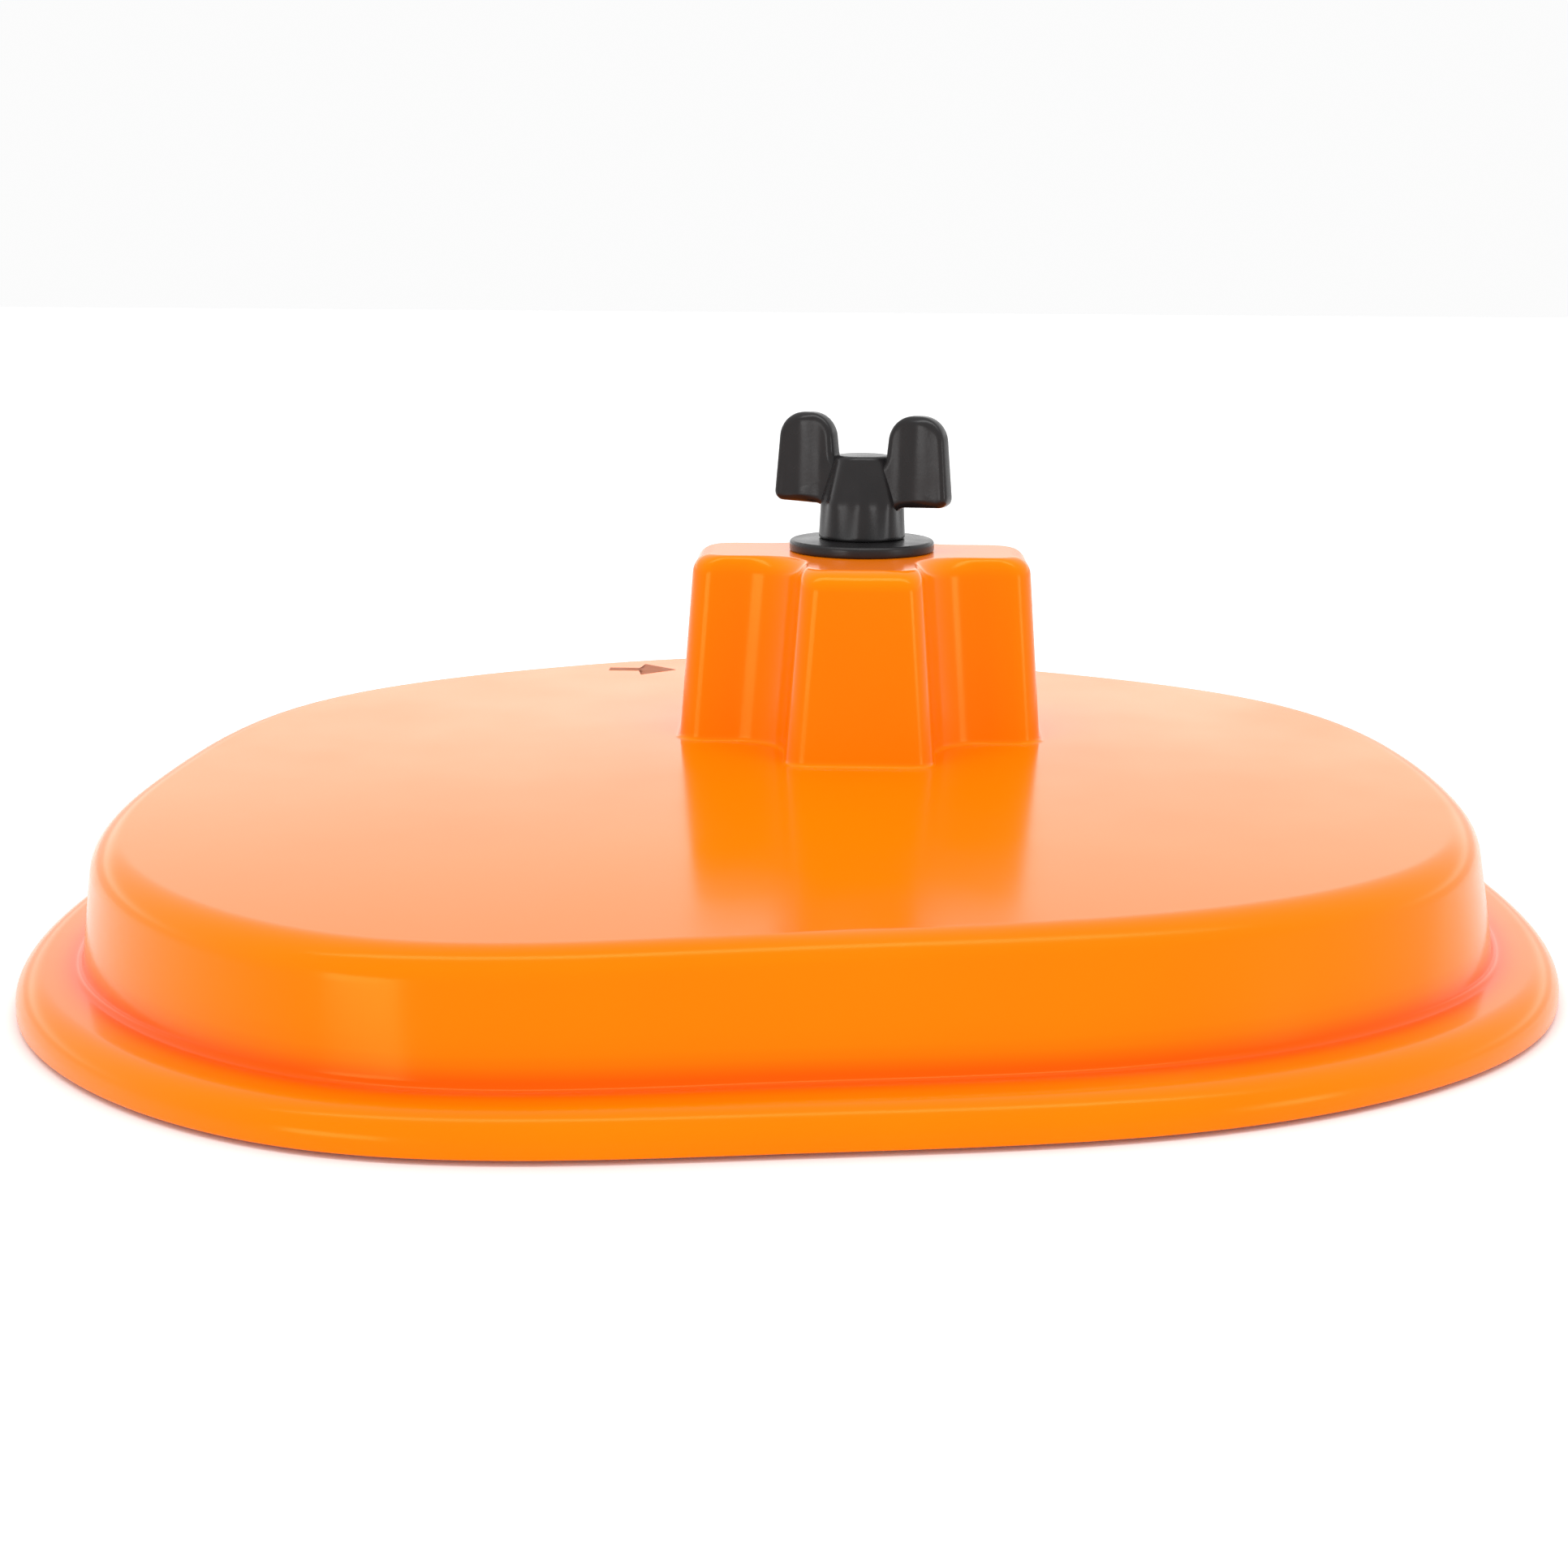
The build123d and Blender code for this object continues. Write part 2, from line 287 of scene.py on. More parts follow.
def revolved(profile, around=96, closed=False, flute=0.0, flutes=0, flute_span=(0.0, 1.0)):
    """Rings of a profile of (radius, height, rounding, steps) turned about the Z axis.

    Point (i, j) lies at radius r_i plus flute * sqrt(sin(pi t)) * cos(flutes * angle_j), where t goes from 0
    to 1 between the two flute heights.
    """
    angles = np.linspace(0, 2 * pi, around, endpoint=False)
    corners = [(ring(circle(max(radius, AXIS_RADIUS), angles), height), rounding, steps)
               for radius, height, rounding, steps in profile]
    rings = rounded(corners, closed)
    if flutes:
        low, high = flute_span
        part = np.clip((rings[..., 2] - low) / (high - low), 0, 1)
        wave = flute * np.sin(pi * part) ** 0.5 * np.cos(flutes * angles)
        radius = np.maximum(np.linalg.norm(rings[..., :2], axis=2), MM)
        rings[..., :2] *= (1 + wave / radius)[..., None]
    return rings


def cross_ring(size, drawn, shrink):
    """Cross with rounded corners: arms of half width W and reach L, both less the drawn-in distance.

    An eighth runs along the arm's end, round a corner of radius Ro, along the side and half round the inner
    corner of radius Ri; it is mirrored over the diagonal and turned four times.
    """
    reach, half = size.arm_reach - drawn, size.arm_width / 2 - drawn
    outer, inner = max(size.arm_corner - shrink, SMALLEST_ROUND), size.hub_corner + shrink
    end, corner, side, hollow = (np.arange(count) / count for count in CROSS_SAMPLES)
    arc, bay = corner * pi / 2, -pi / 2 - hollow * pi / 4
    eighth = np.vstack((
        np.column_stack((np.full(len(end), reach), end * (half - outer))),
        np.column_stack((reach - outer + outer * np.cos(arc), half - outer + outer * np.sin(arc))),
        np.column_stack((reach - outer + side * (half + inner - reach + outer), np.full(len(side), half))),
        np.column_stack((half + inner + inner * np.cos(bay), half + inner + inner * np.sin(bay))),
    ))
    middle = np.full((1, 2), half + inner * (1 - 0.5**0.5))
    quarter = np.vstack((eighth, middle, eighth[:0:-1, ::-1]))
    turned = np.column_stack((-quarter[:, 1], quarter[:, 0]))
    return np.vstack((quarter, turned, -quarter, -turned))


def outline_ring(size, offset, leaning, angles):
    """Outline at given angles about the screw's axis.

    Twelve points lie round the outline's centre, each at its share of the mean radius, plus the offset,
    less the lean; a closed cubic spline with chord-length steps h joins them. Its second derivatives m
    solve h0 m0 + 2 (h0 + h1) m1 + h1 m2 = 6 (slope ahead - slope behind).
    """
    turns = np.arange(12) * pi / 6 + size.outline_turn
    slope = np.maximum(0, np.cos(turns - size.front_turn)) ** LEAN_FOCUS
    lean = leaning * (size.wall_lean + size.front_lean * slope)
    distance = size.foot_radius * OUTLINE_SHAPE + offset - lean
    points = (size.centre_x, size.centre_y) + circle(distance[:, None], turns)
    chord = np.roll(points, -1, axis=0) - points
    step = np.linalg.norm(chord, axis=1)
    before = np.roll(step, 1)
    rise = chord / step[:, None]
    beside = np.roll(np.diag(step), 1, axis=1) + np.roll(np.diag(before), -1, axis=1)
    system = np.diag(2 * (before + step)) + beside
    second = np.linalg.solve(system, 6 * (rise - np.roll(rise, 1, axis=0)))
    part = np.linspace(0, 1, OUTLINE_SAMPLES, endpoint=False)[None, :, None]
    h = step[:, None, None]
    now, then = points[:, None], np.roll(points, -1, axis=0)[:, None]
    bend, next_bend = second[:, None], np.roll(second, -1, axis=0)[:, None]
    curve = (now * (1 - part) + then * part
             + h**2 / 6 * (((1 - part) ** 3 - (1 - part)) * bend + (part**3 - part) * next_bend))
    flat = curve.reshape(-1, 2)
    around = np.arctan2(flat[:, 1], flat[:, 0])
    radius = np.interp(angles, around, np.linalg.norm(flat, axis=1), period=2 * pi)
    return circle(radius[:, None], angles)


# ---------------------------------------------------------------- materials

def node(tree, kind, inputs=None, **settings):
    """Adds a node, sets its properties, and sets or links its inputs."""
    made = tree.nodes.new(kind)
    for name, value in settings.items():
        setattr(made, name, value)
    for name, value in (inputs or {}).items():
        if isinstance(value, bpy.types.NodeSocket):
            tree.links.new(value, made.inputs[name])
        else:
            made.inputs[name].default_value = value
    return made


def material(name, base, varied, patch, rough, grain, depth, hollow=None, **shader):
    """Procedural surface: two tones mixed by cloudy patches, roughness that follows them, and fine grain.

    base and varied are the two tones, patch the size of the clouds, rough the lowest and highest roughness,
    grain the size of the surface's grain and depth its height, all lengths in millimetres; hollow is the
    tone of painted shade that the piece's crease-shade attribute mixes in.
    """
    made = bpy.data.materials.new(name)
    made.use_nodes = True
    made.diffuse_color = base
    tree = made.node_tree
    tree.nodes.clear()
    place = node(tree, "ShaderNodeTexCoord").outputs["Object"]
    clouds = node(tree, "ShaderNodeTexNoise",
                  {"Vector": place, "Scale": 1 / (patch * MM), "Detail": 3.0, "Roughness": 0.55})
    tone = node(tree, "ShaderNodeMix", {"Factor": clouds.outputs["Fac"], MIX_A: base, MIX_B: varied},
                data_type="RGBA").outputs[MIX_OUT]
    # painted shade: the crease attribute mixes a darker tone into the colour where little light reaches
    if hollow:
        painted_crease_shade = node(tree, "ShaderNodeAttribute", attribute_name="painted_crease_shade")
        tone = node(tree, "ShaderNodeMix", {"Factor": painted_crease_shade.outputs["Fac"], MIX_A: tone, MIX_B: hollow},
                    data_type="RGBA").outputs[MIX_OUT]
    gloss = node(tree, "ShaderNodeMapRange",
                 {"Value": clouds.outputs["Fac"], "From Min": 0.3, "From Max": 0.7,
                  "To Min": rough[0], "To Max": rough[1]})
    fine = node(tree, "ShaderNodeTexNoise", {"Vector": place, "Scale": 1 / (grain * MM), "Detail": 2.0})
    bump = node(tree, "ShaderNodeBump",
                {"Height": fine.outputs["Fac"], "Distance": depth * MM, "Strength": 1.0})
    surface = node(tree, "ShaderNodeBsdfPrincipled",
                   {"Base Color": tone, "Roughness": gloss.outputs["Result"],
                    "Normal": bump.outputs["Normal"], **shader})
    node(tree, "ShaderNodeOutputMaterial", {"Surface": surface.outputs["BSDF"]})
    return made


def finish(piece, made, body=None, stands_for=()):
    """Gives a piece its material and slot, and where it is new, its body and the CAD nodes it stands for."""
    piece.data.materials.clear()
    piece.data.materials.append(made)
    if body:
        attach(piece, body)
    if stands_for:
        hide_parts(*stands_for)


def polypropylene(scene):
    """Injection-moulded polypropylene from a polished mould.

    It gives the eye an even strong colour under a clear gloss, which goes pale where the plate is seen at a
    Flow clouds are about 45 mm wide, over a faint orange peel. A painted shade of deeper orange
    lies in the crease at the wall's foot.
    """
    look = scene.wash_finishes
    return material("polypropylene_moulded_gloss", look.plastic, look.plastic_deep, 45, (0.13, 0.21),
                    3.0, 0.004, hollow=look.plastic_painted_shade,
                    **{"IOR": 1.49, "Specular Tint": linear("#FFB45A")})


def moulded_nylon(scene):
    """Black glass-filled nylon from a blasted mould.

    It gives the eye a satin sheen in uneven patches. Its grain of about 0.35 mm is drawn at 0.5 mm so that
    it shows. Its IOR is below nylon's usual 1.53, which gives it the weak reflections of a blasted surface.
    """
    look = scene.wash_finishes
    return material("nylon_moulded_satin", look.nylon, look.nylon_worn, 6, (0.20, 0.32), 0.5, 0.010,
                    IOR=1.35)


def rubber(scene):
    """Moulded EPDM rubber: matt and nearly black with a fine dusty grain."""
    look = scene.wash_finishes
    return material("epdm_rubber_moulded", look.rubber, look.nylon, 8, (0.62, 0.82), 0.6, 0.03,
                    IOR=1.52)


def zinc(scene):
    """Zinc-plated steel, passivated: bright grey with dull, faintly yellow patches of a few millimetres."""
    look = scene.wash_finishes
    return material("steel_zinc_plated", look.zinc, look.zinc_dull, 4, (0.22, 0.42), 0.4, 0.008,
                    Metallic=1.0)


def spring_steel(scene):
    """Phosphated and oiled spring steel: dark grey metal with an uneven soft shine."""
    look = scene.wash_finishes
    return material("spring_steel_phosphated", look.spring, look.nylon, 2.5, (0.34, 0.55), 0.3, 0.01,
                    Metallic=1.0)


# ---------------------------------------------------------------- operators

class WASHCOVER_OT_shell(bpy.types.Operator):
    """Moulded cover: one closed skin over hub, plate, wall, brim and the cored inside"""
    bl_idname = "washcover.shell"
    bl_label = "Cover Shell"

    def execute(self, context):
        s = context.scene.wash_cover
        draft = tan(s.hub_draft)
        plate_top = HUB_TOP - s.hub_height
        slope = tan(s.plate_fall)
        hub_foot = cross_ring(s, 0.0, 0.0)
        angles = np.arctan2(hub_foot[:, 1], hub_foot[:, 0])
        even = np.linspace(0, 2 * pi, len(angles), endpoint=False)
        edge = outline_ring(s, 0.0, 1.0, angles)
        inner_edge = outline_ring(s, -s.wall, 1.0, angles)
        brim_top = UNDERSIDE + s.brim_height
        groove_top = UNDERSIDE + s.groove_depth
        groove_outer = s.groove_inner + s.groove_width
        roof = HUB_TOP - s.hub_wall
        under = plate_top - s.plate
        boss_end = HUB_TOP - s.boss_length
        core_foot = cross_ring(s, s.hub_wall - s.plate * draft, s.hub_wall)
        core_roof = cross_ring(s, (s.hub_height - s.hub_wall) * draft + s.hub_wall, s.hub_wall)
        foot = ring(outline_ring(s, 0.0, 0.05, angles), brim_top)      # with a twentieth of the lean
        wall_top = ring(edge, plate_top + slope * edge[:, 1])
        lip = ring(outline_ring(s, s.brim_width, 0.0, angles), brim_top)
        # rings low on the wall and on the brim, close enough to carry the painted shade in the crease
        wall_steps = [(foot + share * (wall_top - foot), 0, 1) for share in (0.55, 0.38, 0.26, 0.17)]
        brim_steps = [(foot + share * (lip - foot), 0, 1) for share in (0.22, 0.32, 0.44)]
        corners = [
            (ring(circle(s.seat_radius, even), SEAT_FLOOR), *CRISP),
            (ring(circle(s.seat_radius, even), HUB_TOP), 0.25 * MM, 2),
            (ring(cross_ring(s, s.hub_height * draft, 0.0), HUB_TOP), s.hub_round, 8),
            (ring(hub_foot, plate_top + slope * hub_foot[:, 1]), s.hub_foot, 5),
            (wall_top, s.top_round, 12),
            *wall_steps,
            (foot, s.foot_round, 6),
            *brim_steps,
            (lip, s.brim_round, 10),
            (ring(outline_ring(s, s.brim_width, 0.0, angles), UNDERSIDE), *BROKEN),
            (ring(outline_ring(s, groove_outer, 0.0, angles), UNDERSIDE), *EASED),
            (ring(outline_ring(s, groove_outer, 0.0, angles), groove_top), *CRISP),
            (ring(outline_ring(s, s.groove_inner, 0.0, angles), groove_top), *CRISP),
            (ring(outline_ring(s, s.groove_inner, 0.0, angles), UNDERSIDE), *EASED),
            (ring(outline_ring(s, -s.wall, 0.0, angles), UNDERSIDE), *BROKEN),
            (ring(inner_edge, under + slope * inner_edge[:, 1]), 1.6 * MM, 5),
            (ring(core_foot, under + slope * core_foot[:, 1]), *HOLLOW),
            (ring(core_roof, roof), *HOLLOW),
            (ring(circle(s.boss_radius, even), roof), 0.3 * MM, 2),
            (ring(circle(s.boss_radius, even), boss_end), *SOFT),
            (ring(circle(s.bore_radius, even), boss_end), *SOFT),
            (ring(circle(s.bore_radius, even), SEAT_FLOOR), *CRISP),
        ]
        rings = rounded(corners)
        skin = mesh_piece("cover_skin", rings, closed=True)
        # painted shade in the crease: exp(-(distance / reach)^2) from the wall's foot, on what lies higher
        # than 2 mm below the brim's top
        away = np.linalg.norm(rings - foot, axis=2)
        above = rings[..., 2] > brim_top - 2 * MM
        painted_crease_shade = skin.data.attributes.new("painted_crease_shade", "FLOAT", "POINT")
        painted_crease_shade.data.foreach_set("value", (np.exp(-(away / s.painted_shade_reach) ** 2) * above).ravel())
        plastic = polypropylene(context.scene)
        finish(skin, plastic, "cover", ("cover_shell",))
        ribs = mesh_piece("boss_ribs", *[self.rib(s, quarter * pi / 2, roof) for quarter in range(4)])
        finish(ribs, plastic, "cover")
        return {"FINISHED"}

    def rib(self, s, turned, roof):
        """Upright rib from the boss to an arm's end: a flat slab with rounded edges, longer at its foot."""
        draft = tan(s.hub_draft)
        foot = HUB_TOP - s.boss_length
        into = 0.8 * MM     # how far the rib's ends reach into boss, wall and roof
        start = s.boss_radius - into
        heights = foot, roof + into
        ends = [s.arm_reach - s.hub_wall - (z - HUB_TOP + s.hub_height) * draft + into for z in heights]
        path = np.array(((start, foot), (ends[0], foot), (ends[1], heights[1]), (start, heights[1])))
        half = s.rib / 2
        corners = []
        inward = np.array(((1, 1), (-1, 1), (-1, -1), (1, -1)))
        face_inset = 0.5 * MM
        for side, inset in ((-1, face_inset), (-1, 0.0), (1, 0.0), (1, face_inset)):
            flat = path + inset * inward
            corners.append(np.column_stack((flat[:, 0], np.full(len(path), side * half), flat[:, 1])))
        rings = rounded([(corner, *BROKEN) for corner in corners], closed=False, margin=0.3 * MM)
        around = np.array(Matrix.Rotation(turned, 3, "Z"))
        return rings @ around.T


class WASHCOVER_OT_seals(bpy.types.Operator):
    """Rubber seals under the brim and on the hub"""
    bl_idname = "washcover.seals"
    bl_label = "Seals"

    def execute(self, context):
        made = rubber(context.scene)
        for name in ("rim_seal", "hub_seal"):
            finish(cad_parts[name], made)
        return {"FINISHED"}


class WASHCOVER_OT_flange(bpy.types.Operator):
    """Flange washer with a conical top"""
    bl_idname = "washcover.flange"
    bl_label = "Flange Washer"

    def execute(self, context):
        s = context.scene.wash_screw
        top = FLANGE_FOOT + s.flange_height
        profile = (
            (s.flange_bore, FLANGE_FOOT, *EASED),
            (s.flange_radius, FLANGE_FOOT, 0.35 * MM, 4),
            (s.flange_radius, FLANGE_FOOT + s.flange_edge, 0.6 * MM, 6),
            (s.head_base, top, 0.6 * MM, 3),
            (s.flange_bore, top, *EASED),
        )
        flange = mesh_piece("flange_disc", revolved(profile, 128, closed=True), closed=True)
        finish(flange, moulded_nylon(context.scene), "collar", ("flange_washer",))
        return {"FINISHED"}


class WASHCOVER_OT_wings(bpy.types.Operator):
    """Tapered head with two thick round-topped wings"""
    bl_idname = "washcover.wings"
    bl_label = "Wing Head"

    def execute(self, context):
        s = context.scene.wash_screw
        foot = FLANGE_FOOT + s.flange_height
        top = FLANGE_TOP + s.head_height
        profile = (
            (0.0, foot, 0, 1),
            (s.head_base, foot, *SOFT),
            (s.head_base - 0.5 * MM, foot + 6.4 * MM, 8.0 * MM, 6),
            (s.head_top, top, 0.9 * MM, 5),
            (0.0, top, 0, 1),
        )
        head = revolved(profile, 144, flute=s.flute, flutes=8, flute_span=(foot, top - 1.0 * MM))
        piece = mesh_piece("wing_grip", head, *[self.wing(s, s.wing_turn + half) for half in (0.0, pi)])
        finish(piece, moulded_nylon(context.scene), "screw", ("wing_head",))
        return {"FINISHED"}

    def wing(self, s, turned):
        """A wing: its rounded outline in the plane of axis and reach, carried across the thickness.

        From the middle of the edge, rings draw in along a quarter circle to each face, then shrink towards
        the face's middle. Each face swells and sinks by flute * cos(1.5 turns across the width), and the
        wing thins by a sixth towards its top. The outline closes inside the head.
        """
        low = FLANGE_TOP + s.wing_under
        high = HEAD_TOP - 0.02 * MM
        inside = 1.0 * MM
        neck = FLANGE_TOP + 0.6 * MM
        saddle = FLANGE_TOP + s.head_height - 1.4 * MM
        outline = (
            (inside, neck, 1.5 * MM),
            (s.head_base - 2.0 * MM, neck, 1.5 * MM),
            (s.head_base - 0.4 * MM, low, s.wing_root),
            (s.wing_reach, low + s.wing_rise, s.wing_foot),
            (s.wing_reach - s.wing_flare, high, s.wing_tip),
            (s.wing_inner, high, s.wing_tip),
            (s.wing_inner - 0.9 * MM, saddle, 2.4 * MM),
            (inside, saddle - 0.8 * MM, 1.6 * MM),
        )
        corner_steps, edge_points, bend_steps = 12, 160, 7
        corner_rings = [(np.array([[reach, 0.0, height]]), rounding, corner_steps)
                        for reach, height, rounding in outline]
        path = rounded(corner_rings)[:, 0]
        path = np.vstack((path, path[:1]))
        travelled = np.concatenate(((0.0,), np.cumsum(np.linalg.norm(np.diff(path, axis=0), axis=1))))
        even = np.linspace(0, travelled[-1], edge_points, endpoint=False)
        edge = np.column_stack([np.interp(even, travelled, path[:, n]) for n in range(3)])
        tangent = np.roll(edge, -1, axis=0) - np.roll(edge, 1, axis=0)
        inward = np.column_stack((-tangent[:, 2], np.zeros(len(edge)), tangent[:, 0]))
        inward /= np.linalg.norm(inward, axis=1, keepdims=True)
        bend = np.linspace(0, pi / 2, bend_steps)
        half = s.wing_thick / 2
        rim = edge[None] + (1 - np.cos(bend))[:, None, None] * s.wing_edge * inward[None]
        middle = np.array((7.5 * MM, 0.0, FLANGE_TOP + 8.5 * MM))
        shares = np.array((0.93, 0.8, 0.65, 0.5, 0.35, 0.2, 0.08))[:, None, None]
        face = middle + shares * (rim[-1] - middle)
        side = np.concatenate((rim, face))
        across = np.concatenate((half - s.wing_edge * (1 - np.sin(bend)), np.full(len(face), half)))
        width = (side[..., 0] - s.wing_inner) / (s.wing_reach - s.wing_inner)
        rise = np.clip((side[..., 2] - low) / (high - low), 0, 1)
        raised = np.concatenate((np.sin(bend) ** 4, np.ones(len(face))))[:, None]
        swell = s.flute * np.cos(3 * pi * (width - 0.5)) * raised
        side[..., 1] = across[:, None] * (1 - rise / 6) + swell
        rings = np.concatenate((side[::-1] * (1, -1, 1), side))
        around = np.array(Matrix.Rotation(turned, 3, "Z"))
        return rings @ around.T


class WASHCOVER_OT_stud(bpy.types.Operator):
    """Stud with a rolled thread at its foot and a groove for the retaining ring"""
    bl_idname = "washcover.stud"
    bl_label = "Threaded Stud"

    def execute(self, context):
        s = context.scene.wash_screw
        around, slices = 40, 10
        lead, runout, chamfer = 1.2 * s.thread_pitch, 0.6 * MM, 0.6 * MM
        angles = np.linspace(0, 2 * pi, around, endpoint=False)
        heights = np.arange(STUD_FOOT, RING_FOOT, s.thread_pitch / slices)
        # the tooth is a triangle wave of height / pitch - angle / turn, stretched and cut flat at 0 and 1
        turns = heights[:, None] / s.thread_pitch - angles[None] / (2 * pi)
        triangle = 2 * np.abs((turns % 1) - 0.5)
        tooth = np.clip(2.4 * triangle - 0.6, 0, 1)
        # it fades out below the groove, and the foot is chamfered
        ramp = np.clip((heights - STUD_FOOT) / lead, 0, 1)[:, None]
        fade = np.clip((RING_FOOT - runout - heights) / s.thread_pitch, 0, 1)[:, None]
        radius = s.stud_radius - s.thread_depth * (1 - tooth) * fade - chamfer * (1 - ramp)
        thread = np.stack((radius * np.cos(angles), radius * np.sin(angles),
                           np.broadcast_to(heights[:, None], radius.shape)), axis=-1)
        groove = s.stud_radius - s.ring_groove
        shank = (
            (s.stud_radius, RING_FOOT),
            (groove, RING_FOOT),
            (groove, RING_TOP),
            (s.stud_radius, RING_TOP),
            (s.stud_radius, FLANGE_TOP + 3 * MM),
        )
        plain = np.array([ring(circle(radius, angles), height) for radius, height in shank])
        stud = mesh_piece("stud_rod", np.concatenate((thread, plain)))
        smooth = np.arange(len(stud.data.polygons)) < (len(heights) - 1) * around
        stud.data.polygons.foreach_set("use_smooth", smooth)
        finish(stud, zinc(context.scene), "screw", ("screw_stud",))
        return {"FINISHED"}


class WASHCOVER_OT_retainer(bpy.types.Operator):
    """Stop washer and retaining ring on the stud"""
    bl_idname = "washcover.retainer"
    bl_label = "Washer and Ring"

    def execute(self, context):
        finish(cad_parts["stop_washer"], zinc(context.scene))
        finish(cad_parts["retaining_ring"], spring_steel(context.scene))
        return {"FINISHED"}


class WASHCOVER_OT_mark(bpy.types.Operator):
    """Printed arrow on the plate that shows which way round the cover goes"""
    bl_idname = "washcover.mark"
    bl_label = "Printed Arrow"

    def execute(self, context):
        s = context.scene.wash_cover
        tail, barb, tip = -6.0 * MM, 0.6 * MM, 7.0 * MM
        shaft, spread = 1.3 * MM, 5.2 * MM
        place = np.array((-43.0, 49.0)) * MM
        arrow = ((tail, shaft), (tail, -shaft), (barb, -shaft), (barb, -spread), (tip, 0), (barb, spread),
                 (barb, shaft))
        outline = place + arrow
        height = HUB_TOP - s.hub_height + tan(s.plate_fall) * outline[:, 1]
        # the ink stands 0.03 mm proud, and reaches a little into the plate
        film = np.array([ring(outline, height + lift * MM) for lift in (-0.02, 0.03)])
        mark = mesh_piece("printed_arrow", film)
        mark.data.shade_flat()
        look = context.scene.wash_finishes
        # pad-printed ink: thin and matt beside the gloss around it
        ink = material("ink_pad_printed", look.ink, look.ink, 3, (0.45, 0.6), 0.5, 0.004, IOR=1.5)
        finish(mark, ink, "cover")
        return {"FINISHED"}


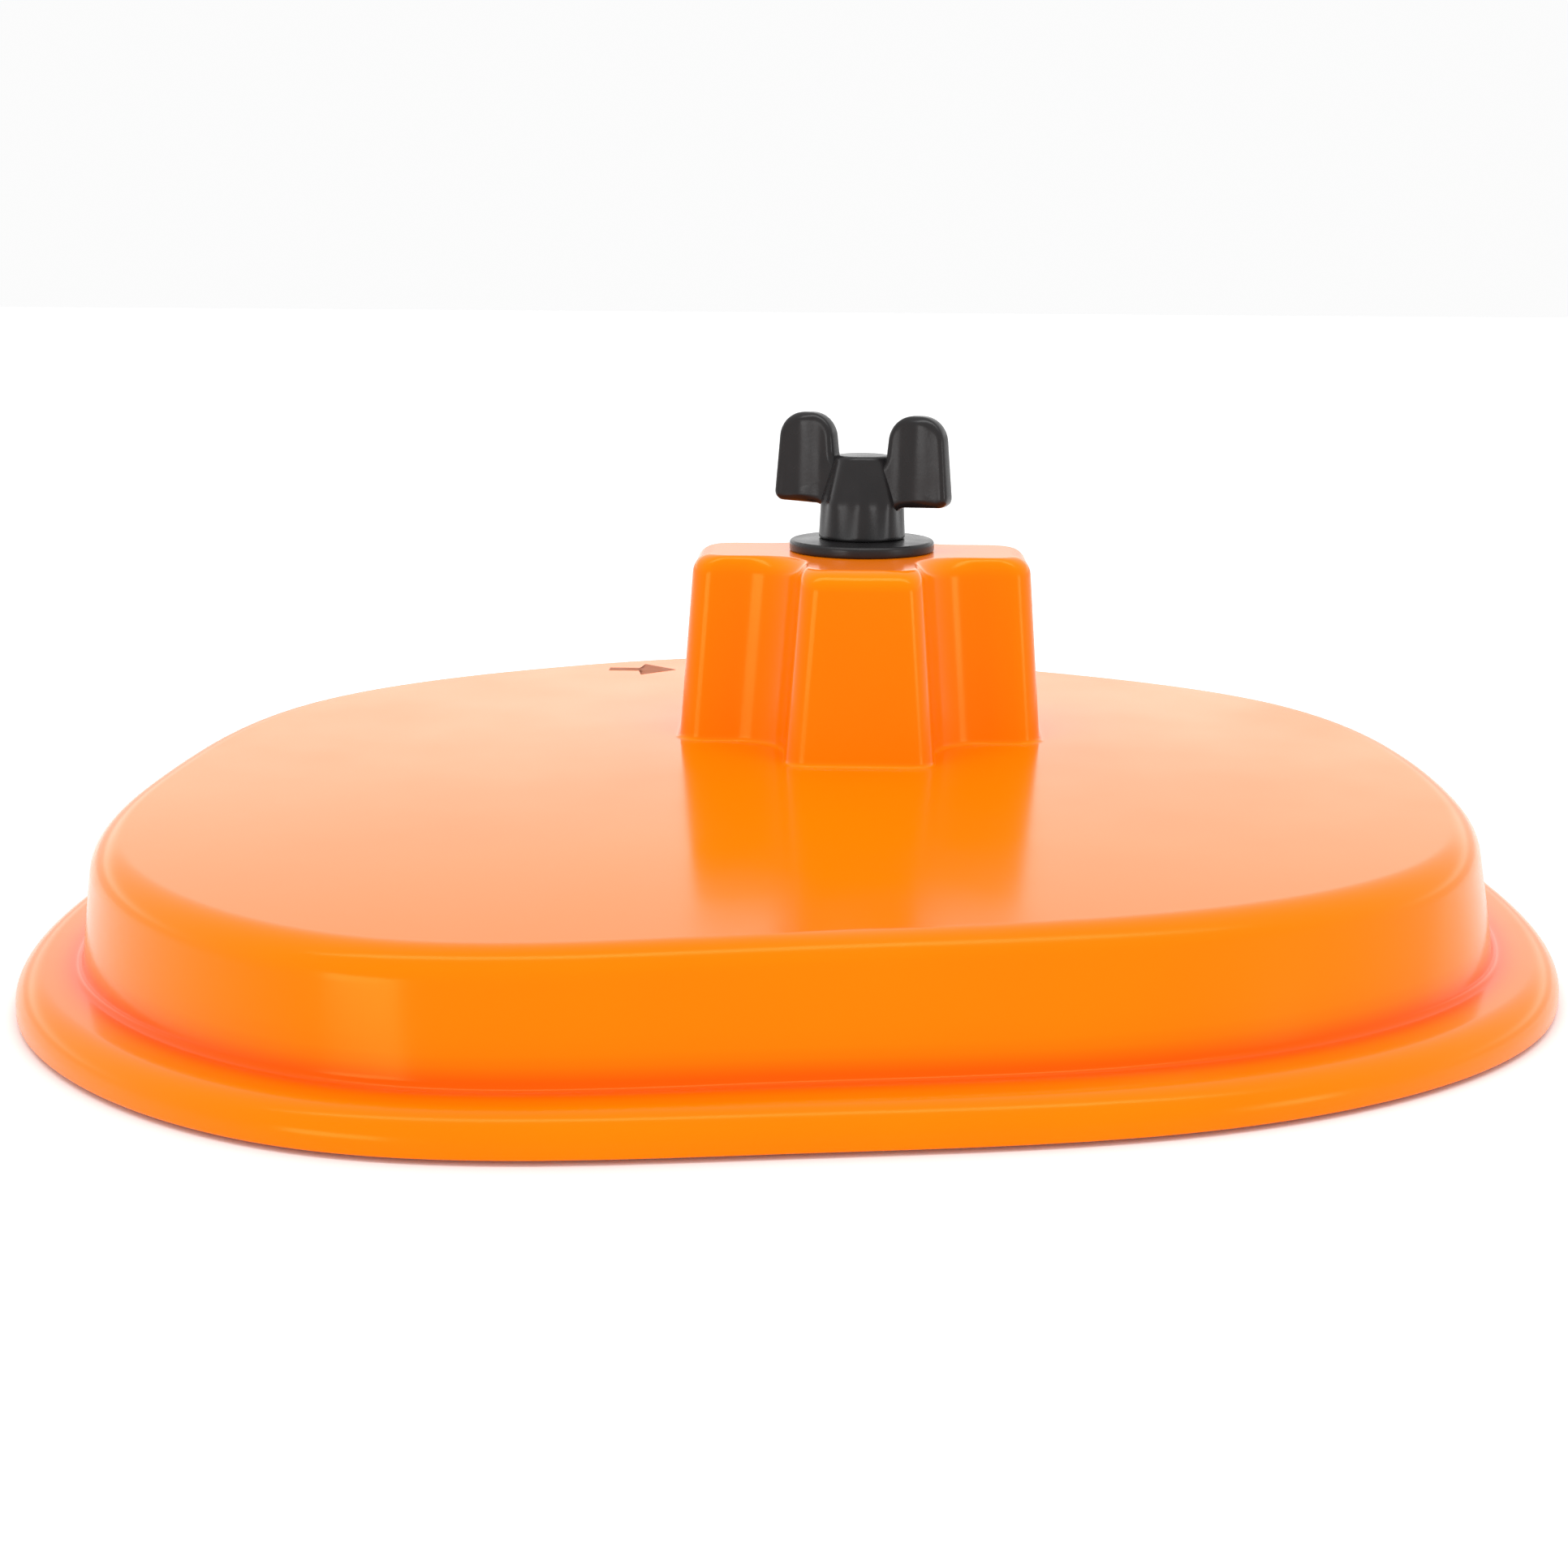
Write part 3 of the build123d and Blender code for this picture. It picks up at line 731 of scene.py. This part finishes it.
class WASHCOVER_OT_stage(bpy.types.Operator):
    """Pale floor, white surroundings, softboxes and the camera"""
    bl_idname = "washcover.stage"
    bl_label = "Stage"

    def execute(self, context):
        scene = context.scene
        sheet = bpy.data.meshes.new("floor")
        corners = np.array(((-1, -1), (1, -1), (1, 1), (-1, 1))) * FLOOR_REACH
        sheet.from_pydata(ring(corners, -FLOOR_DROP), [], [(0, 1, 2, 3)])
        floor = bpy.data.objects.new("floor", sheet)
        context.collection.objects.link(floor)
        # matt painted board: white with barely seen clouds
        board = material("board_painted_matt", scene.wash_finishes.floor, linear("#FBFBFB"), 300, (0.75, 0.9),
                         2.0, 0.005)
        sheet.materials.append(board)
        world = bpy.data.worlds.new("studio")
        scene.world = world
        world.use_nodes = True
        sky = world.node_tree
        surround = sky.nodes["Background"]
        surround.inputs["Color"].default_value = (1, 1, 1, 1)
        direction = node(sky, "ShaderNodeTexCoord").outputs["Generated"]
        toward = node(sky, "ShaderNodeSeparateXYZ", {"Vector": direction})
        # the sweep behind (+Y) glows: it sets in 7.5 degrees above the horizon, is brightest at about 11.5
        # and fades out by 19
        band = node(sky, "ShaderNodeMapRange",
                    {"Value": toward.outputs["Z"], "From Min": 0.19, "From Max": 0.33,
                     "To Min": 1.05, "To Max": 0.0}, interpolation_type="SMOOTHSTEP")
        lower = node(sky, "ShaderNodeMapRange",
                     {"Value": toward.outputs["Z"], "From Min": 0.13, "From Max": 0.2},
                     interpolation_type="SMOOTHSTEP")
        behind = node(sky, "ShaderNodeMapRange",
                      {"Value": toward.outputs["Y"], "From Min": -0.1, "From Max": 0.6},
                      interpolation_type="SMOOTHSTEP")
        part = node(sky, "ShaderNodeMath", {0: band.outputs["Result"], 1: lower.outputs["Result"]},
                    operation="MULTIPLY")
        glow = node(sky, "ShaderNodeMath", {0: part.outputs["Value"], 1: behind.outputs["Result"], 2: SKY},
                    operation="MULTIPLY_ADD")
        sky.links.new(glow.outputs["Value"], surround.inputs["Strength"])
        for name, place, (wide, tall), power in SOFTBOXES:
            lamp = bpy.data.lights.new(name, "AREA")
            lamp.shape, lamp.size, lamp.size_y, lamp.energy = "RECTANGLE", wide, tall, power
            box = bpy.data.objects.new(name, lamp)
            box.location = place
            # each box faces the screw's axis, level; the high one lights the cover from its lower side
            aim = -box.location
            aim.z = 0
            box.rotation_euler = aim.to_track_quat("-Z", "Y").to_euler()
            context.collection.objects.link(box)
        lens = bpy.data.cameras.new("camera")
        lens.lens, lens.sensor_width = CAMERA_LENS, SENSOR_WIDTH
        lens.clip_start = 0.01
        camera = bpy.data.objects.new("camera", lens)
        context.collection.objects.link(camera)
        camera.matrix_world = (Matrix.Translation(CAMERA_PLACE) @ Matrix.Rotation(CAMERA_YAW, 4, "Z")
                               @ Matrix.Rotation(pi / 2 - CAMERA_DIP, 4, "X")
                               @ Matrix.Rotation(CAMERA_ROLL, 4, "Z"))
        scene.camera = camera
        scene.view_settings.view_transform = "Standard"
        return {"FINISHED"}


class WASHCOVER_PT_panel(bpy.types.Panel):
    """Lists the cover's pieces and sizes"""
    bl_idname = "WASHCOVER_PT_panel"
    bl_label = "Wash Cover"
    bl_space_type = "VIEW_3D"
    bl_region_type = "UI"
    bl_category = "Wash Cover"

    def draw(self, context):
        for operator in OPERATORS:
            self.layout.operator(operator.bl_idname)
        for group in (context.scene.wash_cover, context.scene.wash_screw, context.scene.wash_finishes):
            column = self.layout.column(align=True)
            for name in group.__annotations__:
                column.prop(group, name)


GROUPS = {"wash_cover": CoverSizes, "wash_screw": ScrewSizes, "wash_finishes": Finishes}
OPERATORS = (
    WASHCOVER_OT_shell, WASHCOVER_OT_seals, WASHCOVER_OT_flange, WASHCOVER_OT_wings, WASHCOVER_OT_stud,
    WASHCOVER_OT_retainer, WASHCOVER_OT_mark, WASHCOVER_OT_stage,
)


def register():
    """Registers the groups, operators and panel."""
    for name, group in GROUPS.items():
        bpy.utils.register_class(group)
        setattr(bpy.types.Scene, name, PointerProperty(type=group))
    for kind in (*OPERATORS, WASHCOVER_PT_panel):
        bpy.utils.register_class(kind)


def unregister():
    """Removes what register added."""
    for kind in (WASHCOVER_PT_panel, *reversed(OPERATORS)):
        bpy.utils.unregister_class(kind)
    for name, group in GROUPS.items():
        delattr(bpy.types.Scene, name)
        bpy.utils.unregister_class(group)


def main():
    """Builds every piece and the stage in order."""
    register()
    for operator in OPERATORS:
        family, action = operator.bl_idname.split(".")
        getattr(getattr(bpy.ops, family), action)()


if __name__ == "__main__":
    main()
